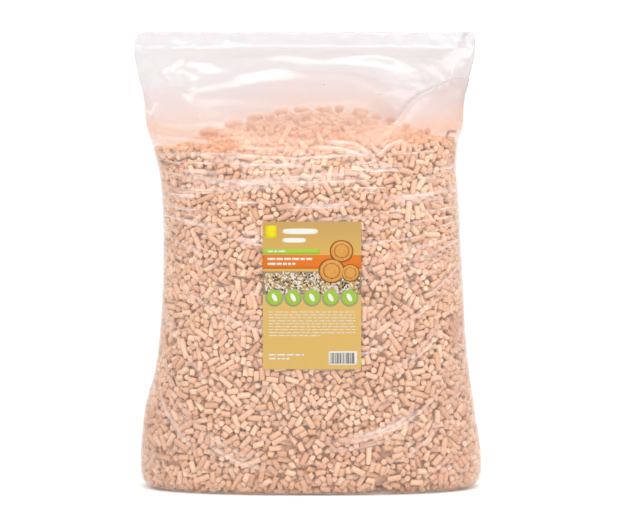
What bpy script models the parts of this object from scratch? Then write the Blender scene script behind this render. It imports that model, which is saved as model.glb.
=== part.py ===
"""A 15 kg sack of wood-pellet cat litter: a clear film bag welded flat across the top, the packed bed
of pellets inside it, single pellets lying on the heap in the head of the bag, and a paper label
stuck on the front. Metres, +Z up, the front faces -Y. The origin is on the flat base."""

import math

import bmesh
import bpy
import numpy as np
from mathutils import Matrix, Vector

# Driving dimensions, in metres
BAG_HEIGHT = 0.489
WELD_HEIGHT = 0.474  # the heat weld, with a free lip of film above it
FILM = 0.00015  # heavy-duty polyethylene
LIP_HALF = 0.0003  # the lip is both films and the tucked gussets, fused
BASE_ROUND = 0.018  # radius round the edge of the base
PELLET_RADIUS = 0.003
LABEL_WIDTH = 0.100
LABEL_HEIGHT = 0.150
LABEL_CENTRE_X = 0.005
LABEL_BOTTOM = 0.132
PAPER = 0.00012
GAP = 0.0003  # kept between pieces that touch
BED_INSET = FILM + 0.0005
RIM_INSET = 0.0018
VENT_RADIUS = 0.001
VENTS = ((-0.1136, 0.392), (0.018, 0.429), (0.076, 0.418))  # x and height, in the front film

# How the filled bag stands: height, left side, right side, half depth
STATIONS = (
    (0.000, -0.1790, 0.1875, 0.0860),
    (0.018, -0.1790, 0.1875, 0.0890),
    (0.040, -0.1790, 0.1870, 0.0930),
    (0.071, -0.1765, 0.1820, 0.0980),
    (0.095, -0.1725, 0.1785, 0.1010),
    (0.120, -0.1650, 0.1750, 0.1040),
    (0.160, -0.1590, 0.1705, 0.1070),
    (0.210, -0.1555, 0.1680, 0.1090),
    (0.260, -0.1545, 0.1650, 0.1090),
    (0.310, -0.1560, 0.1625, 0.1060),
    (0.340, -0.1595, 0.1605, 0.0990),
    (0.365, -0.1660, 0.1620, 0.0860),
    (0.390, -0.1740, 0.1685, 0.0680),
    (0.416, -0.1825, 0.1765, 0.0480),
    (0.440, -0.1865, 0.1800, 0.0290),
    (0.460, -0.1875, 0.1820, 0.0125),
    (WELD_HEIGHT, -0.1865, 0.1815, LIP_HALF),
    (BAG_HEIGHT, -0.1855, 0.1805, LIP_HALF),
)
BODY_SQUARENESS = 2.4  # superellipse exponent of the filled body
HEAD_SQUARENESS = 3.2  # and of the flattened head
HEAD_START = 0.34
GUSSET_FOLD = 0.55  # how far the side gusset sinks in, as a share of the half depth
GUSSET_SPAN = 0.5  # half of the angle that the gusset takes of the section, in radians
RIPPLE = 0.0016  # the welded lip waves this far to the front and back
RIPPLE_LENGTH = 0.105

# The pellet bed: its rim against the film, and the heap on top
RIM_MIDDLE = 0.352
RIM_TILT = 0.03  # the rim rises to the right
RIM_RISE = 0.022  # the rim at the sides of the bag is this much higher than on its front
RIM_HALF_WIDTH = 0.165
RIM_START = 0.332  # the bed's last level ring, below the slope of the rim
HEAP_CREST = 0.403
HEAP_X = 0.025
HEAP_SPREAD = 0.16
HEAP_DROP = 0.022  # the heap is this much lower one HEAP_SPREAD from its crest

AROUND = 48  # points round a section
LOOSE_PELLETS = 44


def smooth(value):
    value = np.clip(value, 0.0, 1.0)
    return value * value * (3 - 2 * value)


def station(height):
    """Left side, right side and half depth at any height, on smooth curves through the stations."""
    heights, *columns = (np.array(column) for column in zip(*STATIONS))
    out = []
    for values in columns:
        slopes = np.gradient(values, heights)
        k = np.clip(np.searchsorted(heights, height, side="right") - 1, 0, len(heights) - 2)
        step = heights[k + 1] - heights[k]
        t = (height - heights[k]) / step
        out.append(
            (1 + 2 * t) * (1 - t) ** 2 * values[k]
            + t * (1 - t) ** 2 * step * slopes[k]
            + t * t * (3 - 2 * t) * values[k + 1]
            + t * t * (t - 1) * step * slopes[k + 1]
        )
    return out


def half_depth(depth):
    """The curve through the stations may dip just under the lip's own thickness by the weld."""
    return np.maximum(depth, LIP_HALF)


def squareness(height):
    return BODY_SQUARENESS + (HEAD_SQUARENESS - BODY_SQUARENESS) * smooth((height - HEAD_START) / 0.1)


def wall(angle, height, inset):
    """Points of the bag's wall, moved inwards by the inset: a superellipse whose two sides sink in
    along the gusset folds, on arrays of angles and heights."""
    left, right, depth = station(height)
    half_width = (right - left) / 2 - inset
    power = 2 / squareness(height)
    across, along = np.cos(angle), np.sin(angle)
    x = half_width * np.sign(across) * np.abs(across) ** power
    y = (half_depth(depth) - inset) * np.sign(along) * np.abs(along) ** power
    from_side = np.abs(np.arcsin(np.clip(along, -1, 1)))
    fold = GUSSET_FOLD * np.maximum(1 - from_side / GUSSET_SPAN, 0) * smooth((height - HEAD_START) / 0.06)
    x -= np.sign(across) * fold * (half_depth(depth) - LIP_HALF) * GUSSET_SPAN
    y += RIPPLE * np.sin(2 * math.pi * x / RIPPLE_LENGTH) * smooth((height - 0.43) / 0.045)
    return x + (left + right) / 2, y


def front(x, height):
    """How far forward the film stands at a place on the front of the filled body."""
    left, right, depth = station(height)
    n = squareness(height)
    across = np.abs(x - (left + right) / 2) / ((right - left) / 2)
    return -half_depth(depth) * (1 - across**n) ** (1 / n)


def angles():
    return np.arange(AROUND) * 2 * math.pi / AROUND


def base_rings(inset):
    """The rounded edge of the base: (height, inset) pairs from the flat bottom up."""
    radius = BASE_ROUND - inset
    turn = np.linspace(0, math.pi / 2, 5)
    return [(BASE_ROUND - radius * math.cos(t), BASE_ROUND - radius * math.sin(t)) for t in turn]


def ring(height, inset):
    heights = np.broadcast_to(height, AROUND)
    x, y = wall(angles(), heights, inset)
    return np.column_stack([x, y, heights])


def cap(mesh, loop, facing_up):
    """A flat cap in strips from the front to the back of a ring."""
    half = AROUND // 2
    for i in range(half):
        corners = [loop[i], loop[i + 1], loop[AROUND - i - 1], loop[-i % AROUND]]
        corners = list(dict.fromkeys(corners))
        mesh.faces.new(corners if facing_up else corners[::-1])


def loft(mesh, rings):
    """Triangles between rings of equal length, from the lowest up. All diagonals run the same way,
    so that an inner loft stays nested in an outer one."""
    loops = [[mesh.verts.new(point) for point in points] for points in rings]
    for low, high in zip(loops, loops[1:]):
        for i in range(AROUND):
            j = (i + 1) % AROUND
            mesh.faces.new((low[i], low[j], high[j]))
            mesh.faces.new((low[i], high[j], high[i]))
    return loops


def add_object(name, mesh, collection):
    data = bpy.data.meshes.new(name)
    mesh.to_mesh(data)
    mesh.free()
    data.shade_smooth()
    made = bpy.data.objects.new(name, data)
    collection.objects.link(made)
    return made


def as_cutter(made):
    made.hide_render = True
    made.display_type = "WIRE"
    return made


def material(name, colour, roughness, alpha=1.0):
    made = bpy.data.materials.new(name)
    made.use_nodes = True
    shader = made.node_tree.nodes["Principled BSDF"]
    shader.inputs["Base Color"].default_value = (*colour, 1)
    shader.inputs["Roughness"].default_value = roughness
    shader.inputs["Metallic"].default_value = 0.0
    shader.inputs["Alpha"].default_value = alpha
    return made


def cut(target, cutter, name):
    modifier = target.modifiers.new(name, "BOOLEAN")
    modifier.operation = "DIFFERENCE"
    modifier.solver = "EXACT"
    modifier.object = cutter


def side_heights(top):
    """The stations above the rounded base and one height between each two, up to the top given."""
    sides = [height for height, *_ in STATIONS if height > BASE_ROUND]
    middles = [(a + b) / 2 for a, b in zip([BASE_ROUND] + sides, sides) if b <= WELD_HEIGHT]
    return [height for height in sorted(sides + middles) if height <= top]


def film_solid(name, inset, top, collection):
    """The bag's outline as a solid, moved inwards by the inset and closed at the top height."""
    mesh = bmesh.new()
    rings = [ring(height, shift) for height, shift in base_rings(inset)]
    rings += [ring(height, inset) for height in side_heights(top)]
    loops = loft(mesh, rings)
    cap(mesh, loops[0], False)
    cap(mesh, loops[-1], True)
    return add_object(name, mesh, collection)


def film_bag(parts, cutters):
    bag = film_solid("film_bag", 0.0, BAG_HEIGHT, parts)
    inside = as_cutter(film_solid("inside_of_film", FILM, WELD_HEIGHT, cutters))
    cut(bag, inside, "Inside")
    for number, (x, height) in enumerate(VENTS, 1):
        bpy.ops.mesh.primitive_cylinder_add(
            vertices=12,
            radius=VENT_RADIUS,
            depth=0.12,
            location=(x, -0.06 - RIPPLE, height),
            rotation=(math.pi / 2, 0, 0),
        )
        punch = as_cutter(bpy.context.active_object)
        punch.name = f"vent_punch_{number}"
        move_to(punch, cutters)
        cut(bag, punch, f"Vent {number}")
    bag.data.materials.append(material("clear polyethylene film", (0.93, 0.92, 0.92), 0.18, 0.25))
    return bag


def move_to(made, collection):
    for other in made.users_collection:
        other.objects.unlink(made)
    collection.objects.link(made)


def heap_top(x):
    """The ridge line of the heap, from the left side of the bag to the right."""
    return HEAP_CREST - HEAP_DROP * np.abs((x - HEAP_X) / HEAP_SPREAD) ** 1.5


def rim_height(x):
    return RIM_MIDDLE + RIM_TILT * x + RIM_RISE * np.abs(x / RIM_HALF_WIDTH) ** 2.5


def heap_height(x, share):
    """The heap's surface where a point is this share of the way from the middle out to the rim."""
    rim = rim_height(x)
    return rim + (heap_top(x) - rim) * (1 - share**3)


def bed_rim(rise=1.0):
    """The ring at this share of the way up from the bed's last level ring to its sloping rim."""
    x, _ = wall(angles(), np.full(AROUND, RIM_MIDDLE), RIM_INSET)
    heights = RIM_START + (rim_height(x) - RIM_START) * rise
    x, y = wall(angles(), heights, BED_INSET + (RIM_INSET - BED_INSET) * rise)
    return np.column_stack([x, y, heights])


def pellet_bed(parts):
    mesh = bmesh.new()
    rings = [ring(height, shift) for height, shift in base_rings(BED_INSET)]
    rings += [ring(height, BED_INSET) for height in side_heights(RIM_START)]
    rings += [bed_rim(1 / 3), bed_rim(2 / 3), bed_rim()]
    rim = bed_rim()
    for share in (0.9, 0.75, 0.5, 0.25):
        x, y = rim[:, 0] * share, rim[:, 1] * share
        rings.append(np.column_stack([x, y, heap_height(x, share)]))
    loops = loft(mesh, rings)
    cap(mesh, loops[0], False)
    crest = mesh.verts.new((0, 0, heap_height(0.0, 0.0)))
    for i in range(AROUND):
        mesh.faces.new((loops[-1][i], loops[-1][(i + 1) % AROUND], crest))
    bed = add_object("pellet_bed", mesh, parts)
    bed.data.materials.append(material("packed wood pellets", (0.69, 0.43, 0.30), 0.75))
    return bed


def label(parts):
    bpy.ops.mesh.primitive_grid_add(x_subdivisions=8, y_subdivisions=12, size=1)
    made = bpy.context.active_object
    made.name = "label"
    move_to(made, parts)
    for vertex in made.data.vertices:
        x = LABEL_CENTRE_X + vertex.co.x * LABEL_WIDTH
        height = LABEL_BOTTOM + (vertex.co.y + 0.5) * LABEL_HEIGHT
        vertex.co = (x, float(front(x, np.array(height))) - GAP, height)
    made.data.shade_smooth()
    sheet = made.modifiers.new("Paper", "SOLIDIFY")
    sheet.thickness = PAPER
    sheet.offset = 1
    made.data.materials.append(material("label paper", (0.82, 0.60, 0.32), 0.55))
    return made


def share_of_rim(x, y):
    """How far out a point is, from 0 in the middle to 1 at the bed's rim."""
    rim = bed_rim()[:, :2]
    bearing = np.unwrap(np.arctan2(rim[:, 1], rim[:, 0]))
    reach = np.hypot(rim[:, 0], rim[:, 1])
    here = (np.arctan2(y, x) - bearing[0]) % (2 * math.pi) + bearing[0]
    bearing, reach = np.append(bearing, bearing[0] + 2 * math.pi), np.append(reach, reach[0])
    return np.hypot(x, y) / np.interp(here, bearing, reach)


def on_heap(x, y):
    return Vector((x, y, float(heap_height(x, share_of_rim(x, y)))))


def pellet_mesh(length):
    """A pellet is a short extruded rod with its broken ends a little worn."""
    mesh = bmesh.new()
    bmesh.ops.create_cone(
        mesh,
        cap_ends=True,
        segments=8,
        radius1=PELLET_RADIUS,
        radius2=PELLET_RADIUS,
        depth=length,
        matrix=Matrix.Rotation(math.pi / 2, 4, "Y"),
    )
    ends = [edge for edge in mesh.edges if abs(edge.verts[0].co.x - edge.verts[1].co.x) < length / 2]
    bmesh.ops.bevel(mesh, geom=ends, offset=PELLET_RADIUS * 0.22, segments=1, affect="EDGES")
    return mesh


def loose_pellets(parts):
    """Single pellets that lie on the heap, each clear of the others."""
    rng = np.random.default_rng(15)
    look = material("pressed wood", (0.73, 0.47, 0.33), 0.7)
    placed = []
    while len(placed) < LOOSE_PELLETS:
        x, y = rng.uniform(-0.125, 0.13), rng.uniform(-0.053, 0.053)
        length, turn = rng.uniform(0.009, 0.016), rng.uniform(0, math.pi)
        reach = length / 2 + PELLET_RADIUS
        if any(math.dist((x, y), (a, b)) < reach + other + 0.0005 for a, b, other in placed):
            continue
        placed.append((x, y, reach))
        along = Vector((math.cos(turn), math.sin(turn), 0))
        ends = [on_heap(x + side * along.x * length / 2, y + side * along.y * length / 2) for side in (-1, 1)]
        middle = on_heap(x, y)
        axis = (ends[1] - ends[0]).normalized()
        sideways = axis.cross(Vector((0, 0, 1))).normalized()
        up = sideways.cross(axis)
        lift = max((middle - (ends[0] + ends[1]) / 2).dot(up), 0) + PELLET_RADIUS + 3 * GAP
        turned = Matrix((axis, up.cross(axis), up)).transposed()
        name = f"loose_pellet_{len(placed):02d}"
        pellet = add_object(name, pellet_mesh(length), parts)
        pellet.data.set_sharp_from_angle(angle=math.radians(50))
        pellet.location = (ends[0] + ends[1]) / 2 + up * lift
        pellet.rotation_euler = turned.to_euler()
        pellet.data.materials.append(look)


def main():
    for old in list(bpy.data.objects):
        bpy.data.objects.remove(old, do_unlink=True)
    parts = bpy.data.collections.new("cat_litter_bag")
    cutters = bpy.data.collections.new("cutters")
    bpy.context.scene.collection.children.link(parts)
    bpy.context.scene.collection.children.link(cutters)
    film_bag(parts, cutters)
    pellet_bed(parts)
    label(parts)
    loose_pellets(parts)


main()
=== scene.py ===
"""Looks of a clear film sack of wood-pellet cat litter: the film with its weld, folds and creases, the
pellets packed behind it, the heap in the head of the bag, and the printed paper label."""

import math

import bpy
import numpy as np
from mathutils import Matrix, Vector


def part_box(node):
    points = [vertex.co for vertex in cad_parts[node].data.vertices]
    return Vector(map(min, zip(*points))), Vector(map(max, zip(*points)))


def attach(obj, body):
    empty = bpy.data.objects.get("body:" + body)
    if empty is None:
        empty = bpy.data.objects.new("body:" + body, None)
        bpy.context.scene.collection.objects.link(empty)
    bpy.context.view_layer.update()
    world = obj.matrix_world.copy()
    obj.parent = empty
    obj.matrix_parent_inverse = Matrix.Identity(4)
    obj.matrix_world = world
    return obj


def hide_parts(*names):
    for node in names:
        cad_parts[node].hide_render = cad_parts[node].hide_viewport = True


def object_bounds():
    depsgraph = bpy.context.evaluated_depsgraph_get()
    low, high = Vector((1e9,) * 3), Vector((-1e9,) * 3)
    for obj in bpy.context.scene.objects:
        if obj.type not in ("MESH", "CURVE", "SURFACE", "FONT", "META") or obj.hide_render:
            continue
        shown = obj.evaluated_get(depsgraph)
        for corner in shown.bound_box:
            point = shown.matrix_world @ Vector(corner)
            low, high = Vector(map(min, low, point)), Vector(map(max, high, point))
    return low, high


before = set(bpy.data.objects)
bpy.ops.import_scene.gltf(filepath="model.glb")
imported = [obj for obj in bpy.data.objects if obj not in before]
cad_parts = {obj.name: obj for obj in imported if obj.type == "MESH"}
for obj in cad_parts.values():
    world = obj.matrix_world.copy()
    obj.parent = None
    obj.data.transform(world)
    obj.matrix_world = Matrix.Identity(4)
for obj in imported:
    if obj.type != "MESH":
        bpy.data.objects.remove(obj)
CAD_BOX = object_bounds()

MM = 0.001
BASE_Z = CAD_BOX[0][2]
BAG_HEIGHT = CAD_BOX[1][2] - BASE_Z
WELD_HEIGHT = BAG_HEIGHT - 15 * MM
LIP_HALF = 0.35 * MM
BASE_ROUND = 18 * MM
HEAD_START = 0.34

# How the filled bag stands, as in its frame: height, left side, right side, half depth
STATIONS = (
    (0.000, -0.1790, 0.1875, 0.0860),
    (0.018, -0.1790, 0.1875, 0.0890),
    (0.040, -0.1790, 0.1870, 0.0930),
    (0.071, -0.1765, 0.1820, 0.0980),
    (0.095, -0.1725, 0.1785, 0.1010),
    (0.120, -0.1650, 0.1750, 0.1040),
    (0.160, -0.1590, 0.1705, 0.1070),
    (0.210, -0.1555, 0.1680, 0.1090),
    (0.260, -0.1545, 0.1650, 0.1090),
    (0.310, -0.1560, 0.1625, 0.1060),
    (0.340, -0.1595, 0.1605, 0.0990),
    (0.365, -0.1660, 0.1620, 0.0860),
    (0.390, -0.1740, 0.1685, 0.0680),
    (0.416, -0.1825, 0.1765, 0.0480),
    (0.440, -0.1865, 0.1800, 0.0290),
    (0.460, -0.1875, 0.1820, 0.0125),
    (WELD_HEIGHT, -0.1865, 0.1815, LIP_HALF),
    (BAG_HEIGHT, -0.1855, 0.1805, LIP_HALF),
)
BODY_SQUARENESS, HEAD_SQUARENESS = 2.4, 3.2
GUSSET_FOLD, GUSSET_SPAN, GUSSET_START = 0.45, 0.5, 0.385
RIPPLE, RIPPLE_LENGTH = 1.6 * MM, 0.105
RIM_MIDDLE, RIM_TILT, RIM_RISE, RIM_HALF_WIDTH = 0.352, 0.03, 0.022, 0.165
HEAP_CREST, HEAP_X, HEAP_SPREAD, HEAP_DROP = 0.403, 0.025, 0.16, 0.022
VENTS = ((-0.1136, 0.392), (0.018, 0.429), (0.076, 0.418))  # x and height of the pin-hole vents
VENT_RADIUS = 0.95 * MM

# The film's grid
AROUND = 384
ROWS = 232

# The label, where the frame has it
LABEL_LOW, LABEL_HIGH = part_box("label")
LABEL_X = (LABEL_LOW[0] + LABEL_HIGH[0]) / 2
LABEL_Z = (LABEL_LOW[2] + LABEL_HIGH[2]) / 2
LABEL_WIDTH = LABEL_HIGH[0] - LABEL_LOW[0]
LABEL_HEIGHT = LABEL_HIGH[2] - LABEL_LOW[2]
LABEL_LIFT = 0.75 * MM

# The pellets
PELLET_RADIUS = 3.12 * MM
LAYER = 14.5 * MM  # how deep the visible layer of pellets goes behind the film
PACKED = 0.66  # share of that layer's volume which is wood
FILM_CLEAR = 0.45 * MM  # kept between the pellets and the film's resting surface
END_SLANT = 0.28  # the steepest slope of a snapped end
LENGTH_MIDDLE, LENGTH_LEAST, LENGTH_MOST = 10.2 * MM, 5.8 * MM, 22 * MM
LENGTH_SPREAD = 0.38  # of the natural logarithm of the length
LAYER_SLACK = 1.5 * MM  # the back of the layer that no pellet's axis reaches
PLACES_TRIED, LENGTHS_DRAWN = 130000, 30000
RELAX_STEPS = 46


def smooth(value):
    value = np.clip(value, 0.0, 1.0)
    return value * value * (3 - 2 * value)


# ------------------------------------------------------------------------------------------
# The bag's form
# ------------------------------------------------------------------------------------------


def hermite(height):
    """Each station column on a cubic curve whose slope at a station is that of its neighbours."""
    heights, *columns = (np.array(column) for column in zip(*STATIONS))
    out = []
    for values in columns:
        slopes = np.gradient(values, heights)
        k = np.clip(np.searchsorted(heights, height, side="right") - 1, 0, len(heights) - 2)
        step = heights[k + 1] - heights[k]
        t = (height - heights[k]) / step
        out.append(
            (1 + 2 * t) * (1 - t) ** 2 * values[k]
            + t * (1 - t) ** 2 * step * slopes[k]
            + t * t * (3 - 2 * t) * values[k + 1]
            + t * t * (t - 1) * step * slopes[k + 1]
        )
    return out


TABLE_Z = np.linspace(0, BAG_HEIGHT, 491)
TABLE_LEFT, TABLE_RIGHT, TABLE_DEPTH = hermite(TABLE_Z)
TABLE_DEPTH = np.maximum(TABLE_DEPTH, LIP_HALF)


def section(height):
    """Middle in X, half width, half depth and squareness of the bag's section at a height."""
    left = np.interp(height, TABLE_Z, TABLE_LEFT)
    right = np.interp(height, TABLE_Z, TABLE_RIGHT)
    depth = np.interp(height, TABLE_Z, TABLE_DEPTH)
    square = BODY_SQUARENESS + (HEAD_SQUARENESS - BODY_SQUARENESS) * smooth((height - HEAD_START) / 0.1)
    return (left + right) / 2, (right - left) / 2, depth, square


def wall(angle, height, inset=0.0):
    """The film at an angle round the bag and a height: a superellipse, x = a cos^(2/n), y = b sin^(2/n),
    whose sides sink in along the gusset folds in the head, and whose lip waves to the front and back."""
    middle, half_width, depth, square = section(height)
    across, along = np.cos(angle), np.sin(angle)
    x = (half_width - inset) * np.sign(across) * np.abs(across) ** (2 / square)
    y = np.maximum(depth - inset, LIP_HALF / 2) * np.sign(along) * np.abs(along) ** (2 / square)
    from_side = np.abs(np.arcsin(np.clip(along, -1, 1)))
    fold = GUSSET_FOLD * np.maximum(1 - from_side / GUSSET_SPAN, 0) * smooth((height - GUSSET_START) / 0.04)
    x = x - np.sign(across) * fold * (depth - LIP_HALF) * GUSSET_SPAN
    y = y + RIPPLE * np.sin(2 * math.pi * x / RIPPLE_LENGTH) * smooth((height - 0.43) / 0.045)
    return x + middle, y


def front(x, height):
    """Y of the film on the front of the filled body."""
    middle, half_width, depth, square = section(height)
    across = np.abs(x - middle) / half_width
    return -depth * (1 - across**square) ** (1 / square)


def rim_height(x):
    return RIM_MIDDLE + RIM_TILT * x + RIM_RISE * np.abs(x / RIM_HALF_WIDTH) ** 2.5


def heap(x, share):
    """Height of the heap where a place is this share of the way out from its middle to its rim."""
    rim = rim_height(x)
    ridge = HEAP_CREST - HEAP_DROP * np.abs((x - HEAP_X) / HEAP_SPREAD) ** 1.5
    return rim + (ridge - rim) * (1 - np.clip(share, 0, 1) ** 3)


def share_out(point):
    """The superellipse radius: 0 in the middle of a section, 1 on the film."""
    middle, half_width, depth, square = section(point[:, 2])
    inside = (np.abs(point[:, 0] - middle) / half_width) ** square + (np.abs(point[:, 1]) / depth) ** square
    return inside ** (1 / square)


def depth_inside(point):
    """How far a point is behind the bag's surface: the superellipse radius over its own slope for the
    sides, a quarter round at the edge of the base, and the heap's surface on top."""
    step = 0.5 * MM
    here = share_out(point)
    slope = [(share_out(point + step * axis) - here) / step for axis in np.eye(3)]
    side = (1 - here) / np.maximum(np.sqrt(sum(part**2 for part in slope)), 1.0)
    height = point[:, 2]
    corner = BASE_ROUND - np.hypot(BASE_ROUND - side, BASE_ROUND - height)
    near_corner = (side < BASE_ROUND) & (height < BASE_ROUND)
    low = np.where(near_corner, corner, np.minimum(side, height))
    level = point.copy()
    level[:, 2] = RIM_MIDDLE
    top = (heap(point[:, 0], share_out(level)) - height) * 0.9
    return np.minimum(low, top)


def inward(point):
    """The direction in which depth_inside grows, by finite differences."""
    step = 0.7 * MM
    ahead = [depth_inside(point + step * axis) for axis in np.eye(3)]
    behind = [depth_inside(point - step * axis) for axis in np.eye(3)]
    slope = np.stack(ahead, 1) - np.stack(behind, 1)
    return slope / np.maximum(np.linalg.norm(slope, axis=1, keepdims=True), 1e-9)


# ------------------------------------------------------------------------------------------
# Meshes from arrays
# ------------------------------------------------------------------------------------------


def mesh_from(name, points, face_sets, smooth_shaded=True):
    """A mesh object from a point array and lists of faces, one array for each number of corners."""
    data = bpy.data.meshes.new(name)
    corners = np.concatenate([faces.reshape(-1) for faces in face_sets])
    sizes = np.concatenate([np.full(len(faces), faces.shape[1]) for faces in face_sets])
    data.vertices.add(len(points))
    data.vertices.foreach_set("co", np.ascontiguousarray(points, np.float32).reshape(-1))
    data.loops.add(len(corners))
    data.loops.foreach_set("vertex_index", corners.astype(np.int32))
    data.polygons.add(len(sizes))
    data.polygons.foreach_set("loop_start", (np.cumsum(sizes) - sizes).astype(np.int32))
    data.polygons.foreach_set("loop_total", sizes.astype(np.int32))
    data.update(calc_edges=True)
    if smooth_shaded:
        data.shade_smooth()
    made = bpy.data.objects.new(name, data)
    bpy.context.scene.collection.objects.link(made)
    return made


def give(made, name, kind, values):
    """A point attribute from an array."""
    layer = made.data.attributes.new(name, kind, "POINT")
    field = "vector" if kind == "FLOAT_VECTOR" else "value"
    layer.data.foreach_set(field, np.ascontiguousarray(values, np.float32).reshape(-1))


def grid_faces(rows, columns, wrap):
    """Quads of a grid of points, row by row, joined round if it wraps."""
    across = columns if wrap else columns - 1
    row, column = np.meshgrid(np.arange(rows - 1), np.arange(across), indexing="ij")
    after = (column + 1) % columns
    here, above = row * columns, (row + 1) * columns
    quads = [here + column, here + after, above + after, above + column]
    return np.stack(quads, -1).reshape(-1, 4)


def cap_faces(first, count, turned):
    """A flat lid of strips that run from the front to the back of a ring of points."""
    half = count // 2
    i = np.arange(1, half - 1)
    strips = np.stack([first + i, first + i + 1, first + count - i - 1, first + count - i], 1)
    near_end = [first, first + 1, first + count - 1]
    far_end = [first + half - 1, first + half, first + half + 1]
    ends = np.array([near_end, far_end])
    return (strips[:, ::-1], ends[:, ::-1]) if turned else (strips, ends)


# ------------------------------------------------------------------------------------------
# The film
# ------------------------------------------------------------------------------------------

# Folds that run across the front panel: x and height of a few points, how far the film stands out
# along the fold, and the fold's width. A negative height is a crease pressed in.
FRONT_FOLDS = (
    (
        (
            (-0.167, 0.426), (-0.124, 0.4235), (-0.087, 0.432), (-0.048, 0.4425), (0.040, 0.4415),
            (0.093, 0.420),
        ),
        1.3,
        7.0,
    ),
    (((-0.185, 0.455), (-0.120, 0.452), (-0.060, 0.459), (0.060, 0.462), (0.150, 0.452)), 1.6, 6.0),
    (((-0.150, 0.410), (-0.085, 0.414), (-0.020, 0.408), (0.045, 0.412), (0.100, 0.403)), 0.6, 6.0),
    (((-0.167, 0.379), (-0.150, 0.371), (-0.122, 0.368), (-0.092, 0.363)), 1.3, 2.2),
    (((-0.160, 0.362), (-0.143, 0.350), (-0.127, 0.343)), -1.2, 2.6),
    (((-0.160, 0.386), (-0.130, 0.382), (-0.085, 0.386)), 1.0, 2.5),
    (((0.158, 0.379), (0.148, 0.3785), (0.1465, 0.371), (0.152, 0.363)), -1.0, 2.2),
    (((-0.110, 0.344), (-0.060, 0.349), (-0.008, 0.346), (0.045, 0.350), (0.074, 0.345)), 1.6, 2.0),
    (((-0.085, 0.336), (-0.040, 0.340), (0.010, 0.337)), 1.3, 1.8),
    (((0.000, 0.359), (0.035, 0.357), (0.072, 0.346)), 1.8, 2.2),
    (((0.018, 0.366), (0.050, 0.362), (0.074, 0.346)), 1.5, 2.2),
    (((0.070, 0.346), (0.083, 0.360), (0.096, 0.366), (0.108, 0.360)), 1.6, 2.4),
    (((-0.178, 0.404), (-0.168, 0.401), (-0.163, 0.395)), 1.4, 2.0),
    (((-0.158, 0.411), (-0.166, 0.396)), 1.4, 1.8),
    (((-0.183, 0.466), (-0.150, 0.447), (-0.105, 0.436)), 2.6, 8.0),
    (((-0.150, 0.470), (-0.115, 0.452), (-0.060, 0.441), (0.000, 0.452)), 2.2, 7.0),
    (((-0.060, 0.470), (0.010, 0.455), (0.075, 0.462), (0.120, 0.447)), 2.2, 7.0),
    (((-0.130, 0.458), (-0.144, 0.447), (-0.158, 0.440)), 1.2, 2.4),
    (((-0.175, 0.437), (-0.150, 0.424), (-0.120, 0.411)), 2.0, 6.0),
)
SHARP_FOLD = 3.0  # a fold narrower than this, in millimetres, gets a painted white highlight along its top
# Creases darkened with painted shade: points as above and the width
PAINTED_SHADE_CREASES = (
    (((-0.160, 0.3495), (-0.150, 0.3455), (-0.139, 0.3425), (-0.124, 0.3385)), 1.5),
    (((0.160, 0.379), (0.149, 0.3785), (0.1465, 0.373), (0.151, 0.366)), 1.3),
)
# Where the white of the empty head ends: x and height of a line across the front
WHITE_EDGE = (
    (-0.187, 0.424), (-0.165, 0.427), (-0.130, 0.4275), (-0.100, 0.4235), (-0.070, 0.427), (-0.040, 0.436),
    (-0.008, 0.4460), (0.045, 0.4445), (0.075, 0.438), (0.096, 0.4215), (0.120, 0.4225), (0.141, 0.431),
    (0.157, 0.4365), (0.187, 0.4385),
)
# The right-hand gusset has sprung open: the film drops back past this edge, towards the lower right
GUSSET_EDGE = (
    (0.186, 0.4385), (0.157, 0.436), (0.141, 0.429), (0.120, 0.418), (0.107, 0.4075), (0.099, 0.395),
    (0.086, 0.381),
)
GUSSET_DROP = 4.5 * MM
GIRTH = 0.88
WRINKLES = 230
FULL_HIGHLIGHT_RISE = 1.3 * MM  # a ridge this high gets the full painted white highlight


def along_line(x, height, points):
    """Distance from every place to a polyline, the share of its length there, and which side it is on."""
    points = np.array(points)
    lengths = np.hypot(*np.diff(points, axis=0).T)
    before = np.concatenate([[0], np.cumsum(lengths)]) / lengths.sum()
    nearest = np.full(x.shape, np.inf)
    share, side = np.zeros(x.shape), np.zeros(x.shape)
    for (ax, az), (bx, bz), length, start in zip(points, points[1:], lengths, before):
        ux, uz = (bx - ax) / length, (bz - az) / length
        along = (x - ax) * ux + (height - az) * uz
        held = np.clip(along, 0, length)
        away = np.hypot(x - ax - held * ux, height - az - held * uz)
        closer = away < nearest
        nearest = np.where(closer, away, nearest)
        share = np.where(closer, start + held / lengths.sum(), share)
        side = np.where(closer, np.sign((x - ax) * uz - (height - az) * ux), side)
    return nearest, share, side


def fold_ridges(x, height):
    """Rounded ridges, exp(-(d/w)^2), along the folds, each fading at its two ends: all of them, and the
    sharp ones alone."""
    out, sharp = np.zeros(x.shape), np.zeros(x.shape)
    for points, rise, width in FRONT_FOLDS:
        away, share, _ = along_line(x, height, points)
        ridge = rise * MM * np.exp(-((away / (width * MM)) ** 2))
        ridge = ridge * smooth(share * 5) * smooth((1 - share) * 5)
        out += ridge
        if width < SHARP_FOLD:
            sharp += np.maximum(ridge, 0)
    return out, sharp


def sag_coordinate(girth, height):
    """Height less the droop of the film's hanging wrinkles: they are lowest in the middle of a panel
    and climb more and more steeply to its sides. The droop fades out in the upper half."""
    from_middle = np.minimum(np.abs(girth), np.abs(GIRTH / 2 - np.abs(girth)))
    from_middle = np.minimum(from_middle, 0.19)
    droop = 1 - 0.92 * smooth((height - 0.17) / 0.15)
    return height - droop * (1.6 * from_middle**2 + 12 * from_middle**3)


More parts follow.
